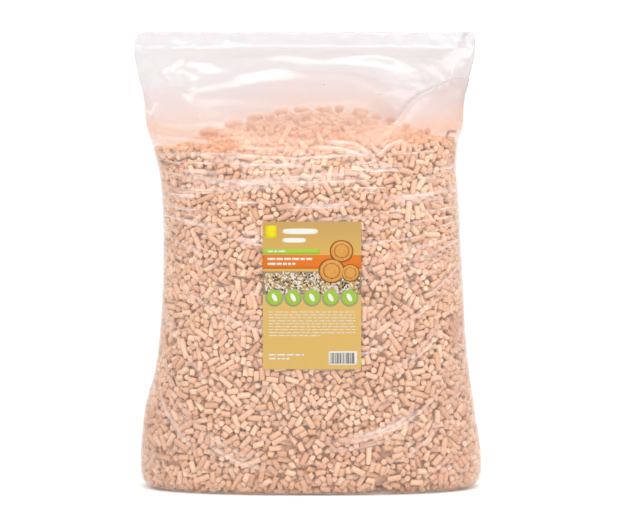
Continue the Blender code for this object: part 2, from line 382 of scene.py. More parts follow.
def hanging_wrinkles(girth, height, rng):
    """Many narrow ridges along lines of equal sag coordinate, each over its own stretch of the girth."""
    sag = sag_coordinate(girth, height)
    out = np.zeros(girth.shape)
    for _ in range(WRINKLES):
        level = rng.triangular(-0.12, 0.34, 0.36)
        place = rng.uniform(-GIRTH / 2, GIRTH / 2)
        reach = rng.uniform(0.018, 0.070)
        rise = rng.uniform(0.4, 1.25) * MM
        width = rng.uniform(1.5, 2.4) * MM
        slant = rng.uniform(-0.05, 0.05)
        away = (girth - place + GIRTH / 2) % GIRTH - GIRTH / 2
        out += rise * np.exp(-(((sag - level - slant * away) / width) ** 2)) * np.exp(-((away / reach) ** 4))
    return out


def crumple(x, height, rng, waves, longest):
    """Flat facets with sharp ridges, from several tilted triangle waves bent by a slow sine: every second
    wave raises the surface to its own height, and each other one lowers it by 0.3 of its own."""
    out = np.zeros(x.shape)
    for number in range(waves):
        turn, shift = rng.uniform(0, math.pi), rng.uniform(0, 1)
        length = longest * rng.uniform(0.45, 1.0)
        wave = (x * math.cos(turn) + height * math.sin(turn)) / length + shift
        sideways = x * math.sin(turn) - height * math.cos(turn)
        wave = wave + 0.35 * np.sin(2 * math.pi * sideways / (2.1 * length))
        valley = np.abs((wave % 1) * 2 - 1)
        out = np.maximum(out, 1 - valley) if number % 2 else out - 0.3 * valley
    return out


def film_relief(x, y, height, girth):
    """How far the film stands out from the bag's plain form, from folds, wrinkles and crumpled corners,
    and how much of that is the hanging wrinkles and the sharp folds, which sets the painted white highlight."""
    rng = np.random.default_rng(4)
    facing = smooth(0.5 - y / (0.02 + 0.35 * np.abs(y).max(axis=1, keepdims=True)))
    folds, sharp = fold_ridges(x, height)
    back_folds, _ = fold_ridges(-x, height + 3 * MM)
    forward = folds * facing + back_folds * (1 - facing)
    away, share, side = along_line(x, height, GUSSET_EDGE)
    drop = np.where(side > 0, smooth(away / (2.4 * MM)) * np.exp(-((away / 0.035) ** 2)), 0)
    lip = 0.9 * MM * np.exp(-((away / (2.5 * MM)) ** 2))
    forward += (lip - GUSSET_DROP * drop) * facing * smooth(share * 6) * smooth((1 - share) * 6)
    head = smooth((height - 0.395) / 0.03) * (1 - smooth((height - 0.462) / 0.012))
    right = np.exp(-(((x - 0.145) / 0.052) ** 2)) * smooth((height - 0.414) / 0.012)
    right = right * np.where(side > 0, 0.2, 1)
    left = np.exp(-(((x + 0.165) / 0.035) ** 2)) * 0.55
    forward += crumple(x, height, rng, 6, 0.030) * MM * head * (1.4 * right + 2.4 * left + 0.1)
    forward += crumple(x, height, rng, 6, 0.016) * 1.3 * MM * head * right
    hanging = hanging_wrinkles(girth, height, rng) * smooth((0.37 - height) / 0.02) * smooth(height / 0.015)
    wide_left = np.exp(-(((x + 0.14) / 0.05) ** 2)) * 0.5
    forward += crumple(x, height, rng, 5, 0.010) * 0.55 * MM * head * (right + wide_left)
    return forward + hanging, hanging + 0.6 * sharp * facing


def lip_flutter(x, height):
    """The free lip waves to the front and back in flat facets, both films together."""
    rng = np.random.default_rng(11)
    lip = smooth((height - WELD_HEIGHT + 4 * MM) / (6 * MM))
    waves = 1.1 * MM * np.sin(x / 0.019 + 2 * np.sin(x / 0.05))
    return lip * (waves + 1.5 * MM * crumple(x, height, rng, 5, 0.034))


def film_grid():
    """The film's points row by row: rings that grow over the flat base, a quarter round, then rings up the
    sides to the lip. Each moves along its own normal by film_relief, and the lip's top corners are round."""
    turn = np.linspace(0, math.pi / 2, 9)[1:]
    low = BASE_ROUND * (1 - np.cos(turn))
    low_inset = BASE_ROUND * (1 - np.sin(turn))
    flat = np.array([0.25, 0.5, 0.75, 0.9, 1.0])
    up = np.linspace(BASE_ROUND, WELD_HEIGHT, ROWS)[1:]
    lip = WELD_HEIGHT + (BAG_HEIGHT - WELD_HEIGHT) * np.linspace(0, 1, 9)[1:]
    heights = np.concatenate([np.zeros(len(flat)), low, up, lip])
    insets = np.concatenate([np.full(len(flat), BASE_ROUND), low_inset, np.zeros(len(up) + len(lip))])
    spread = np.concatenate([flat, np.ones(len(heights) - len(flat))])
    angle = np.arange(AROUND) * 2 * math.pi / AROUND
    height = np.repeat(heights[:, None], AROUND, 1)
    x, y = wall(angle[None, :], height, insets[:, None])
    x, y = x * spread[:, None], y * spread[:, None]
    points = np.stack([x, y, height], -1)
    round_tangent = np.roll(points, -1, 1) - np.roll(points, 1, 1)
    up_tangent = np.gradient(points, axis=0)
    normal = np.cross(round_tangent, up_tangent)
    normal /= np.maximum(np.linalg.norm(normal, axis=2, keepdims=True), 1e-12)
    steps = np.linalg.norm(np.roll(points, -1, 1) - points, axis=2)
    girth = np.cumsum(steps, 1) - steps
    total = steps.sum(1, keepdims=True)
    girth = (girth / total - 0.75) * GIRTH
    girth = np.where(girth < -GIRTH / 2, girth + GIRTH, girth)
    relief, hanging = film_relief(x, y, height, girth)
    relief *= smooth(height / 0.03) * smooth(0.12 + 1.5 * np.abs(normal[..., 1]))
    under_label = (y < 0) * smooth((LABEL_WIDTH / 2 + 7 * MM - np.abs(x - LABEL_X)) / (6 * MM))
    under_label = under_label * smooth((LABEL_HEIGHT / 2 + 6 * MM - np.abs(height - LABEL_Z)) / (5 * MM))
    relief *= 1 - 0.9 * under_label
    points += normal * relief[..., None]
    points[..., 2] = np.maximum(points[..., 2], BASE_Z)
    points[..., 1] += lip_flutter(x, height)
    middle, half_width, _, _ = section(height)
    from_corner = half_width - np.abs(x - middle)
    size = np.where(x < 0, 0.011, 0.004)
    round_off = np.clip(1 - from_corner / size, 0, 1)
    above = np.clip((height - WELD_HEIGHT) / (BAG_HEIGHT - WELD_HEIGHT), 0, 1)
    points[..., 2] -= above * size * (1 - np.sqrt(np.clip(1 - round_off**2, 0, 1)))
    # the last value is the painted white highlight along the ridge tops
    return points, girth, np.clip(hanging / FULL_HIGHLIGHT_RISE, 0, 1)


def film_painted_shade(points):
    """Painted shade on the film: two sharp creases in which the film is folded over and darkened, one on the
    left by the heap's rim and a small hooked one on the right, and the darkened upper right corner, open
    gusset and lower left corner."""
    x, height = points[..., 0], points[..., 2]
    out = np.zeros(x.shape)
    for line, width in PAINTED_SHADE_CREASES:
        away, share, _ = along_line(x, height, line)
        crease = np.exp(-((away / (width * MM)) ** 2)) * smooth(share * 6)
        out = np.maximum(out, crease * smooth((1 - share) * 3))
    # painted shade: the upper right corner, the open gusset and the lower left corner are darkened
    corner = 0.22 * np.exp(-(((x - 0.160) / 0.045) ** 2)) * smooth((height - 0.385) / 0.03)
    away, _, side = along_line(x, height, GUSSET_EDGE)
    gusset = np.where(side > 0, 0.20 * smooth(away / (2 * MM)) * np.exp(-((away / 0.030) ** 2)), 0)
    gusset = gusset * smooth((height - rim_height(x)) / 0.012)
    low = 0.25 * np.exp(-(((x + 0.168) / 0.030) ** 2) - ((height - 0.045) / 0.055) ** 2)
    return np.maximum(np.maximum(out, corner), np.maximum(gusset, low)) * (points[..., 1] < 0)


def film_haze(points):
    """How milky the film looks: clear where it lies on the pellets, milky in the empty head and most of
    all before the heap, at the weld, and where it is rucked at the lower corners."""
    x, height = points[..., 0], points[..., 2]
    head = smooth((height - rim_height(x) + 0.012) / 0.026)
    weld = smooth((height - WELD_HEIGHT + 3 * MM) / (3 * MM))
    corner = np.exp(-(((x - 0.17) / 0.05) ** 2) - ((height - 0.05) / 0.08) ** 2)
    corner += 0.5 * np.exp(-(((x + 0.17) / 0.03) ** 2) - ((height - 0.04) / 0.06) ** 2)
    heap_front = head * smooth((HEAP_CREST + 8 * MM - height) / (14 * MM))
    heap_front = heap_front * np.exp(-(((x - HEAP_X) / 0.13) ** 4))
    return 0.08 + 0.37 * head + 0.09 * heap_front + 0.07 * weld + 0.08 * corner


def film_dust_and_bounce(points):
    """How warm the film's milk is, from fine wood dust and painted bounce light from the pellets: none above
    a wavy line across the head, then more and more down to the heap, and an even share over the body."""
    x, height = points[..., 0], points[..., 2]
    edge = np.interp(x, *zip(*WHITE_EDGE))
    below = edge - height
    near_heap = smooth((rim_height(x) + 0.036 - height) / 0.030)
    loose = smooth((height - rim_height(x) + 8 * MM) / (12 * MM))
    in_head = 0.35 * smooth(below / (3 * MM)) + 0.20 * smooth(below / 0.045) + 0.45 * near_heap
    return in_head * loose + 0.55 * (1 - loose)


def film_cling(points):
    """Where the film clings to the load in small horizontal rucks: over the body, most in its upper half."""
    height = points[..., 2]
    return smooth((0.368 - height) / 0.02) * (0.40 + 0.60 * smooth((height - 0.20) / 0.10))


def bag_film():
    points, girth, painted_ridge_highlight = film_grid()
    rows = len(points)
    faces = grid_faces(rows, AROUND, True)
    bottom, bottom_ends = cap_faces(0, AROUND, True)
    top, top_ends = cap_faces((rows - 1) * AROUND, AROUND, False)
    made = mesh_from("bag_film", points.reshape(-1, 3), [faces, bottom, top, bottom_ends, top_ends])
    give(made, "haze", "FLOAT", film_haze(points))
    # warm tint of wood dust and painted bounce light from the pellets
    give(made, "dust_and_bounce", "FLOAT", film_dust_and_bounce(points))
    give(made, "cling", "FLOAT", film_cling(points))
    give(made, "painted_ridge_highlight", "FLOAT", painted_ridge_highlight)
    # painted shade in creases and dim corners
    give(made, "shade", "FLOAT", film_painted_shade(points))
    sag = sag_coordinate(girth, points[..., 2])
    panel = np.cos(girth / GIRTH * 2 * math.pi) * GIRTH / 4
    side = np.sin(girth / GIRTH * 2 * math.pi) * GIRTH / 4
    give(made, "flow", "FLOAT_VECTOR", np.stack([panel, sag, side], -1))
    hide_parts("film_bag")
    made.visible_shadow = False  # so thin a film casts next to none
    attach(made, "root")
    return made, points


def vent_burrs(film_points):
    """The small rolled edge that a hot pin leaves round each vent, a torus, and the shadow in the hole."""
    turns, steps, bead = 16, 8, 0.28 * MM
    around = np.arange(turns)[:, None] * 2 * math.pi / turns
    across = np.arange(steps)[None, :] * 2 * math.pi / steps
    reach = VENT_RADIUS + bead * np.cos(across)
    torus = np.stack([reach * np.cos(around), bead * np.sin(across) + 0 * around, reach * np.sin(around)], -1)
    index = np.arange(turns * steps).reshape(turns, steps)
    after, above = np.roll(index, -1, 0), np.roll(index, -1, 1)
    faces = np.stack([index, above, np.roll(after, -1, 1), after], -1).reshape(-1, 4)
    disc = np.stack([np.cos(around[:, 0]), 0 * around[:, 0], np.sin(around[:, 0])], -1) * VENT_RADIUS
    front_film = film_points[film_points[..., 1] < 0]
    burrs, holes = [], []
    for x, height in VENTS:
        nearest = np.argmin(np.hypot(front_film[:, 0] - x, front_film[:, 2] - height))
        centre = front_film[nearest] - [0, 0.5 * MM, 0]
        burrs.append(torus.reshape(-1, 3) + centre)
        holes.append(disc + centre)
    shift = (np.arange(len(VENTS)) * turns * steps)[:, None, None]
    made = mesh_from("vent_burrs", np.concatenate(burrs), [(faces[None] + shift).reshape(-1, 4)])
    lids = np.arange(len(VENTS) * turns).reshape(len(VENTS), turns)
    shade = mesh_from("vent_holes", np.concatenate(holes), [lids], smooth_shaded=False)
    for piece in (made, shade):
        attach(piece, "root")
    return made, shade


# ------------------------------------------------------------------------------------------
# The pellets
# ------------------------------------------------------------------------------------------


def near_pairs(centres, reach):
    """Index pairs of pellets whose centres lie in the same or neighbouring cells of a cubic grid."""
    cell = np.floor((centres - centres.min(0)) / reach).astype(np.int64) + 1
    size = cell.max(0) + 2
    key = (cell[:, 0] * size[1] + cell[:, 1]) * size[2] + cell[:, 2]
    order = np.argsort(key, kind="stable")
    ordered = key[order]
    firsts, seconds = [], []
    for dx in (-1, 0, 1):
        for dy in (-1, 0, 1):
            for dz in (-1, 0, 1):
                shift = (dx * size[1] + dy) * size[2] + dz
                if shift < 0:
                    continue
                start = np.searchsorted(ordered, ordered + shift, "left")
                stop = np.searchsorted(ordered, ordered + shift, "right")
                count = stop - start
                first = np.repeat(np.arange(len(key)), count)
                within = np.arange(count.sum()) - np.repeat(np.cumsum(count) - count, count)
                second = within + np.repeat(start, count)
                keep = first < second if shift == 0 else np.ones(len(first), bool)
                firsts.append(order[first[keep]])
                seconds.append(order[second[keep]])
    first, second = np.concatenate(firsts), np.concatenate(seconds)
    close = np.linalg.norm(centres[first] - centres[second], axis=1) < reach
    return first[close], second[close]


def closest(tail_a, span_a, tail_b, span_b):
    """Shares along two arrays of segments at which each pair comes closest, with both ends held in 0 to 1."""
    offset = tail_a - tail_b
    aa = (span_a * span_a).sum(1)
    bb = (span_b * span_b).sum(1)
    ab = (span_a * span_b).sum(1)
    ao = (span_a * offset).sum(1)
    bo = (span_b * offset).sum(1)
    spread = np.maximum(aa * bb - ab * ab, 1e-16)
    s = np.clip((ab * bo - ao * bb) / spread, 0, 1)
    t = np.clip((ab * s + bo) / bb, 0, 1)
    s = np.clip((ab * t - ao) / aa, 0, 1)
    return s, t


def scatter(index, weight, push, out):
    """Adds the rows of push, times weight, to the rows of out that index names."""
    for axis in range(3):
        out[:, axis] += np.bincount(index, weight * push[:, axis], len(out))


def packed_pellets():
    """Centres, axes and lengths of the pellets in the layer behind the film. They start at random, and then
    every two that overlap push each other apart, the film holds them in, and the rest of the load behind
    them presses them outwards."""
    rng = np.random.default_rng(59)
    low = np.array([TABLE_LEFT.min(), -TABLE_DEPTH.max(), 0])
    high = np.array([TABLE_RIGHT.max(), TABLE_DEPTH.max(), HEAP_CREST + 5 * MM])
    tries = rng.uniform(low, high, (PLACES_TRIED, 3))
    depth = depth_inside(tries)
    inside = (depth > PELLET_RADIUS + FILM_CLEAR) & (depth < LAYER - LAYER_SLACK)
    layer_volume = ((depth > 0) & (depth < LAYER)).mean() * np.prod(high - low)
    lengths = rng.lognormal(math.log(LENGTH_MIDDLE), LENGTH_SPREAD, LENGTHS_DRAWN)
    lengths = np.clip(lengths, LENGTH_LEAST, LENGTH_MOST)
    volume = math.pi * PELLET_RADIUS**2 * lengths.mean()
    count = int(PACKED * layer_volume / volume)
    centres, lengths = tries[inside][:count], lengths[:count]
    axes = rng.normal(size=centres.shape)
    axes /= np.linalg.norm(axes, axis=1, keepdims=True)
    half = lengths / 2 - PELLET_RADIUS * 0.82
    tails, heads = centres - axes * half[:, None], centres + axes * half[:, None]
    reach = 21 * MM
    touching = 2 * PELLET_RADIUS
    for step in range(RELAX_STEPS):
        if step % 6 == 0:
            first, second = near_pairs((tails + heads) / 2, reach)
        span_a, span_b = heads[first] - tails[first], heads[second] - tails[second]
        s, t = closest(tails[first], span_a, tails[second], span_b)
        apart = tails[first] + span_a * s[:, None] - tails[second] - span_b * t[:, None]
        away = np.linalg.norm(apart, axis=1)
        hit = away < touching
        push = apart[hit] / np.maximum(away[hit], 1e-6)[:, None] * (touching - away[hit])[:, None] * 0.30
        move_tails, move_heads = np.zeros_like(tails), np.zeros_like(heads)
        for index, share, sign in ((first[hit], s[hit], 1), (second[hit], t[hit], -1)):
            ease = sign / (share**2 + (1 - share) ** 2)
            scatter(index, ease * (1 - share), push, move_tails)
            scatter(index, ease * share, push, move_heads)
        tails += move_tails
        heads += move_heads
        outward = -inward((tails + heads) / 2)
        pressed = 0.10 * MM * min(1, 2.2 * (1 - step / RELAX_STEPS))
        tails += outward * pressed
        heads += outward * pressed
        for ends in (tails, heads):
            depth = depth_inside(ends)
            too_near = np.clip(PELLET_RADIUS + FILM_CLEAR - depth, 0, 4 * MM)
            too_deep = np.clip(depth - LAYER + LAYER_SLACK, 0, 1 * MM)
            ends += -outward * (too_near - too_deep)[:, None]
        middle, span = (tails + heads) / 2, heads - tails
        span *= (half / np.maximum(np.linalg.norm(span, axis=1), 1e-6))[:, None]
        tails, heads = middle - span, middle + span
    middle = (tails + heads) / 2
    axes = (heads - tails) / np.linalg.norm(heads - tails, axis=1, keepdims=True)
    for last in (False, False, False, False, True):
        into = inward(middle)
        girth = PELLET_RADIUS * np.sqrt(np.clip(1 - (axes * into).sum(1) ** 2, 0, 1))
        reach = axes * (lengths[:, None] / 2 + END_SLANT * PELLET_RADIUS)
        room = np.min([depth_inside(middle + end) for end in (-reach, 0 * reach, reach)], axis=0) - girth
        if not last:
            middle = middle + into * np.clip(FILM_CLEAR - room, 0, 4 * MM)[:, None]
    kept = room > 0.15 * MM
    return middle[kept], axes[kept], lengths[kept]


def pellet_points(centres, axes, lengths, sides, worn, rng):
    """Extruded rods: rings of points round each pellet's axis. The end rings are tilted, as a rod snaps,
    and with worn ends the edge is rounded by a second ring."""
    count = len(centres)
    guide = np.where(np.abs(axes[:, 2:3]) < 0.8, [[0.0, 0.0, 1.0]], [[1.0, 0.0, 0.0]])
    side = np.cross(axes, guide)
    side /= np.linalg.norm(side, axis=1, keepdims=True)
    other = np.cross(axes, side)
    angle = np.arange(sides) * 2 * math.pi / sides
    cut = rng.uniform(0.25, 0.75, (count, 2)) * MM
    half = lengths[:, None] / 2
    if worn:
        reach = np.stack([-half[:, 0], cut[:, 0] - half[:, 0], half[:, 0] - cut[:, 1], half[:, 0]], 1)
        worn_tail = 1 - rng.uniform(0.10, 0.28, count)
        worn_head = 1 - rng.uniform(0.10, 0.28, count)
        radius = np.stack([worn_tail, np.ones(count), np.ones(count), worn_head], 1)
        lean = np.array([1.0, 1.0, 0.0, 0.0])
    else:
        reach = np.concatenate([-half, half], 1)
        radius = np.ones((count, 2)) * 0.96
        lean = np.array([1.0, 0.0])
    tilt = np.clip(rng.normal(0, 0.22, (count, 2, 2)), -END_SLANT, END_SLANT)
    ring_tilt = tilt[:, 0:1] * lean[None, :, None] + tilt[:, 1:2] * (1 - lean)[None, :, None]
    size = PELLET_RADIUS * rng.uniform(0.94, 1.03, count)
    ca = np.cos(angle)[None, None, :] * radius[:, :, None] * size[:, None, None]
    sa = np.sin(angle)[None, None, :] * radius[:, :, None] * size[:, None, None]
    along = reach[:, :, None] + ca * ring_tilt[:, :, 0:1] + sa * ring_tilt[:, :, 1:2]
    bend = rng.normal(0, 4.5, count)[:, None, None] * along**2
    local = np.stack([along, ca + bend, sa], -1)
    placed = (
        centres[:, None, None, :]
        + local[..., 0:1] * axes[:, None, None, :]
        + local[..., 1:2] * side[:, None, None, :]
        + local[..., 2:3] * other[:, None, None, :]
    )
    grain = local + rng.uniform(-1, 1, (count, 1, 1, 3))
    return placed, grain


def pellet_object(name, chosen, sides, worn, rng, nodes=()):
    """One mesh of all the chosen pellets: the same quads and end faces for each, offset by its points."""
    centres, axes, lengths = chosen
    points, grain = pellet_points(centres, axes, lengths, sides, worn, rng)
    count, rings = points.shape[:2]
    quads = grid_faces(rings, sides, True)
    lids = np.array([np.arange(sides)[::-1], (rings - 1) * sides + np.arange(sides)])
    shift = (np.arange(count) * rings * sides)[:, None, None]
    face_sets = [(quads[None] + shift).reshape(-1, 4), (lids[None] + shift).reshape(-1, sides)]
    made = mesh_from(name, points.reshape(-1, 3), face_sets)
    made.data.set_sharp_from_angle(angle=math.radians(50))
    give(made, "grain", "FLOAT_VECTOR", grain.reshape(-1, 3))
    # random tone per pellet, plus painted fill light: the pellets behind the outer layer lie in shade and
    # their tone is lifted by a quarter
    tint_and_painted_fill = np.clip(rng.beta(2.6, 2.2, count) + (0 if worn else 0.25), 0, 1)
    give(made, "tint_and_painted_fill", "FLOAT", np.repeat(tint_and_painted_fill, rings * sides))
    if nodes:
        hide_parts(*nodes)
    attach(made, "root")
    return made


# The sine waves that make the core lumpy: direction and phase
LUMP_WAVES = (
    ((0.8, 0.3, 0.5), 1.0),
    ((-0.4, 0.7, 0.6), 2.2),
    ((0.2, -0.6, 0.77), 0.4),
    ((0.7, 0.7, -0.2), 3.3),
)


def bed_core():
    """The load behind the visible layer: rings inset from the film, closed by the heap, with a surface
    made lumpy by a sum of sine waves."""
    inset = LAYER - 4.5 * MM
    count = 160
    angle = np.arange(count) * 2 * math.pi / count
    heights = np.linspace(inset, RIM_MIDDLE - inset, 90)
    height = np.repeat(heights[:, None], count, 1)
    x, y = wall(angle[None, :], height, inset)
    corner = np.clip((BASE_ROUND - heights) / BASE_ROUND, 0, 1)[:, None]
    x, y = x * (1 - 0.04 * corner), y * (1 - 0.06 * corner)
    rings = [np.stack([x, y, height], -1)]
    for share in (0.94, 0.85, 0.72, 0.56, 0.4, 0.25, 0.12):
        top = np.stack([x[-1] * share, y[-1] * share, heap(x[-1] * share, share) - inset * 1.05], -1)
        rings.append(top[None])
    points = np.concatenate(rings)
    lumps = sum(np.sin(points @ direction / (3.1 * MM) + phase) for direction, phase in LUMP_WAVES)
    outward = points - [0, 0, 0.2]
    outward /= np.linalg.norm(outward, axis=2, keepdims=True)
    points = points + outward * (lumps * 0.45 * MM)[..., None]
    rows = len(points)
    bottom, bottom_ends = cap_faces(0, count, True)
    top, top_ends = cap_faces((rows - 1) * count, count, False)
    faces = grid_faces(rows, count, True)
    made = mesh_from("pellet_bed_core", points.reshape(-1, 3), [faces, bottom, top, bottom_ends, top_ends])
    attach(made, "root")
    return made


def pellet_layer():
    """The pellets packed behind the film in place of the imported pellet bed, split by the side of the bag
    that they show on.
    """
    centres, axes, lengths = packed_pellets()
    rng = np.random.default_rng(60)
    outward = -inward(centres)
    depth = depth_inside(centres)
    outer = depth < PELLET_RADIUS * 2.1
    up, forward, across = outward[:, 2], -outward[:, 1], outward[:, 0]
    faces_that_way = [up > 0.75, up < -0.75, forward > 0.55, forward < -0.55, across > 0]
    place = np.select(faces_that_way, [0, 1, 2, 3, 4], 5)
    names = ("heap", "underside", "front", "back", "right", "left")
    made = []
    for number, name in enumerate(names):
        for shell, sides, worn, label in ((outer, 10, True, "outer"), (~outer, 6, False, "behind")):
            pick = shell & (place == number)
            if (name, label) == ("underside", "outer"):
                sides = 8
            chosen = centres[pick], axes[pick], lengths[pick]
            nodes = ("pellet_bed",) if (name, label) == ("front", "outer") else ()
            made.append(pellet_object(f"pellets_{name}_{label}", chosen, sides, worn, rng, nodes))
    return made


# ------------------------------------------------------------------------------------------
# The label
# ------------------------------------------------------------------------------------------

INK = 0.02 * MM  # the thickness of a printed shape, drawn thicker than real ink so that it shows
GRAINS = 620


def label_point(u, v, lift):
    """A place on the label, u and v in millimetres from its lower left corner, on the film's front."""
    x = LABEL_X - LABEL_WIDTH / 2 + u * MM
    height = LABEL_Z - LABEL_HEIGHT / 2 + v * MM
    ruck = 0.25 * MM * np.sin(height / 0.011 + 1.5 * np.sin(x / 0.02)) * smooth(1 - v / 40)
    return np.stack([x, front(x, height) - LABEL_LIFT - ruck - lift, height], -1)


def slab(u, v, lift, thick):
    """A closed thin sheet on the label from a grid of u and v: its face, its back and the rim between."""
    face, back = label_point(u, v, lift + thick), label_point(u, v, lift)
    rows, columns = u.shape
    faces = grid_faces(rows, columns, False)
    index = np.arange(rows * columns).reshape(rows, columns)
    rim = np.concatenate([index[0, :-1], index[:-1, -1], index[-1, :0:-1], index[:0:-1, 0]])
    after = np.roll(rim, -1)
    total = rows * columns
    sides = np.stack([after, rim, rim + total, after + total], 1)
    points = np.concatenate([face.reshape(-1, 3), back.reshape(-1, 3)])
    return points, np.concatenate([faces, faces[:, ::-1] + total, sides])


def rectangle(left, low, right, high, lift=INK, cell=4.0):
    columns = max(2, int((right - left) / cell) + 1)
    rows = max(2, int((high - low) / cell) + 1)
    v, u = np.meshgrid(np.linspace(low, high, rows), np.linspace(left, right, columns), indexing="ij")
    return slab(u, v, lift, INK)


def ellipse(u, v, half_u, half_v, turn=0.0, lift=INK, square=2.0, cells=8):
    """A filled superellipse: a square grid pressed into the round outline, so that it has no pole."""
    t = np.linspace(-1, 1, cells + 1)
    b, a = np.meshgrid(t, t, indexing="ij")
    reach = np.maximum(np.abs(a), np.abs(b))
    norm = np.maximum((np.abs(a) ** square + np.abs(b) ** square) ** (1 / square), 1e-9)
    a, b = a * reach / norm * half_u, b * reach / norm * half_v
    u = u + a * math.cos(turn) - b * math.sin(turn)
    v = v + a * math.sin(turn) + b * math.cos(turn)
    return slab(u, v, lift, INK)


def printed(name, shapes, look):
    """All the shapes printed in one ink, as one mesh."""
    points, faces, total = [], [], 0
    for shape_points, shape_faces in shapes:
        points.append(shape_points)
        faces.append(shape_faces + total)
        total += len(shape_points)
    made = mesh_from(name, np.concatenate(points), [np.concatenate(faces)], smooth_shaded=False)
    made.data.materials.append(look)
    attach(made, "root")
    return made


def label_piece():
    """The paper itself, a thin closed sheet that follows the front of the bag."""
    up, across = np.linspace(0, LABEL_HEIGHT / MM, 76), np.linspace(0, LABEL_WIDTH / MM, 51)
    v, u = np.meshgrid(up, across, indexing="ij")
    points, faces = slab(u, v, -0.12 * MM, 0.12 * MM)
    made = mesh_from("label_paper", points, [faces])
    made.data.set_sharp_from_angle(angle=math.radians(40))
    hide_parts("label")
    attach(made, "root")
    return made


def text_rows(rng, left, right, top, rows, pitch, thick):
    """Rows of plain dashes where small print would be."""
    shapes = []
    for row in range(rows):
        start, v = left, top - row * pitch
        end = right if row < rows - 1 else left + (right - left) * 0.6
        while start < end - 2:
            stop = min(start + rng.uniform(3.0, 9.0), end)
            shapes.append(rectangle(start, v, stop, v + thick, 0.06 * MM))
            start = stop + 1.1
    return shapes


def label_print():
    """Plain fields of colour and simple shapes in the places of the print."""
    rng = np.random.default_rng(8)
    yellow = [rectangle(3, 133, 14, 146)]
    orange = [rectangle(0.0, 102.0, 100, 116.0)]
    green = [rectangle(0.0, 117.0, 58, 122.5)]
    strip = [rectangle(0.0, 76.0, 100, 99.5)]
    discs = [ellipse(12.0 + 19 * k, 73, 8.0, 8.0, lift=0.06 * MM) for k in range(5)]
    rings = [ellipse(12.0 + 19 * k, 73, 9.2, 9.2, lift=0.04 * MM) for k in range(5)]
    logs = ((70.0, 100.0, 13.5), (89.0, 98.0, 9.5), (80.0, 120.0, 12.0))
    bark = [ellipse(u, v, size, size * 0.94, lift=0.05 * MM, square=2.1) for u, v, size in logs]
    wood, years = [], []
    for u, v, size in logs:
        for share in (0.90, 0.56, 0.22):
            wood.append(ellipse(u, v, size * share, size * share * 0.94, lift=(0.115 - 0.04 * share) * MM))
        for share in (0.66, 0.34):
            years.append(ellipse(u, v, size * share, size * share * 0.94, lift=(0.105 - 0.04 * share) * MM))
    white = text_rows(rng, 6, 94, 58, 9, 3.0, 0.75) + [rectangle(67, 4.5, 96, 18.5)]
    white += text_rows(rng, 5, 52, 111, 2, 5.0, 2.2) + text_rows(rng, 5, 40, 119, 1, 4.0, 1.6)
    white += [ellipse(38, 140, 18, 2.9, 0.0, 0.05 * MM, 4.0), ellipse(32, 131, 12, 2.4, 0.0, 0.05 * MM, 4.0)]
    white += text_rows(rng, 6, 42, 14, 2, 4.0, 1.6)
    for k in range(5):
        white += [ellipse(12.0 + 19 * k, 73.0, 2.2, 4.6, 0.5, 0.08 * MM)]
    dark = []
    start = 69.0
    while start < 93.5:
        wide = rng.choice([0.4, 0.7, 1.1])
        dark.append(rectangle(start, 6.0, start + wide, 17.0, 0.06 * MM, 2.5))
        start += wide + rng.choice([0.5, 0.8])
    grains = {"pale": [], "tan": [], "brown": []}
    for _ in range(GRAINS):
        u, v = rng.uniform(2, 98), rng.uniform(77.5, 98)
        kind = rng.choice(["pale", "tan", "brown"], p=[0.48, 0.3, 0.22])
        lift = rng.uniform(0.03, 0.05) * MM
        size, turn = rng.uniform(0.9, 2.2), rng.uniform(0, math.pi)
        grains[kind].append(ellipse(u, v, size, 0.7, turn, lift, 3.0, cells=4))
    inks = (
        ("print_yellow_tag", yellow, "#CFC11C"),
        ("print_orange_band", orange, "#C5671C"),
        ("print_green_band", green, "#97AF3A"),
        ("print_strip", strip, "#8A7762"),
        ("print_disc_rings", rings, "#8E8C80"),
        ("print_discs", discs, "#8BA839"),
        ("print_log_bark", bark, "#7E4A1E"),
        ("print_log_wood", wood, "#BF8A44"),
        ("print_log_years", years, "#A9602A"),
        ("print_white", white, "#D0CEC6"),
        ("print_dark", dark, "#3E3026"),
        ("print_grains_pale", grains["pale"], "#C9C2B2"),
        ("print_grains_tan", grains["tan"], "#B8904E"),
        ("print_grains_brown", grains["brown"], "#46362A"),
    )
    return [printed(name, shapes, printing_ink(name, colour)) for name, shapes, colour in inks]


# ------------------------------------------------------------------------------------------
# Materials
# ------------------------------------------------------------------------------------------


def linear(colour):
    """An sRGB hex colour as linear RGBA."""
    parts = [int(colour[i : i + 2], 16) / 255 for i in (1, 3, 5)]
    return tuple(c / 12.92 if c <= 0.04045 else ((c + 0.055) / 1.055) ** 2.4 for c in parts) + (1.0,)


def new_material(name):
    made = bpy.data.materials.new(name)
    made.use_nodes = True
    made.node_tree.nodes.clear()
    return made


def add(look, kind, settings=None, **links):
    """A node with its settings, and its inputs set to values or linked to sockets."""
    node = look.node_tree.nodes.new(kind)
    for key, value in (settings or {}).items():
        setattr(node, key, value)
    for key, value in links.items():
        socket = node.inputs[int(key[1:]) if key[1:].isdigit() and key[0] == "i" else key.replace("_", " ")]
        if isinstance(value, bpy.types.NodeSocket):
            look.node_tree.links.new(value, socket)
        else:
            socket.default_value = value
    return node


# Settings that several nodes share
BLENDED = {"data_type": "RGBA"}
MULTIPLIED = {"data_type": "RGBA", "blend_type": "MULTIPLY"}
MULTIPLY_ADD = {"operation": "MULTIPLY_ADD"}


def ramp(look, fac, *stops):
    node = add(look, "ShaderNodeValToRGB", None, Fac=fac)
    while len(node.color_ramp.elements) < len(stops):
        node.color_ramp.elements.new(0.5)
    for element, (place, colour) in zip(node.color_ramp.elements, stops):
        element.position = place
        element.color = linear(colour) if isinstance(colour, str) else (colour, colour, colour, 1)
    return node.outputs["Color"]


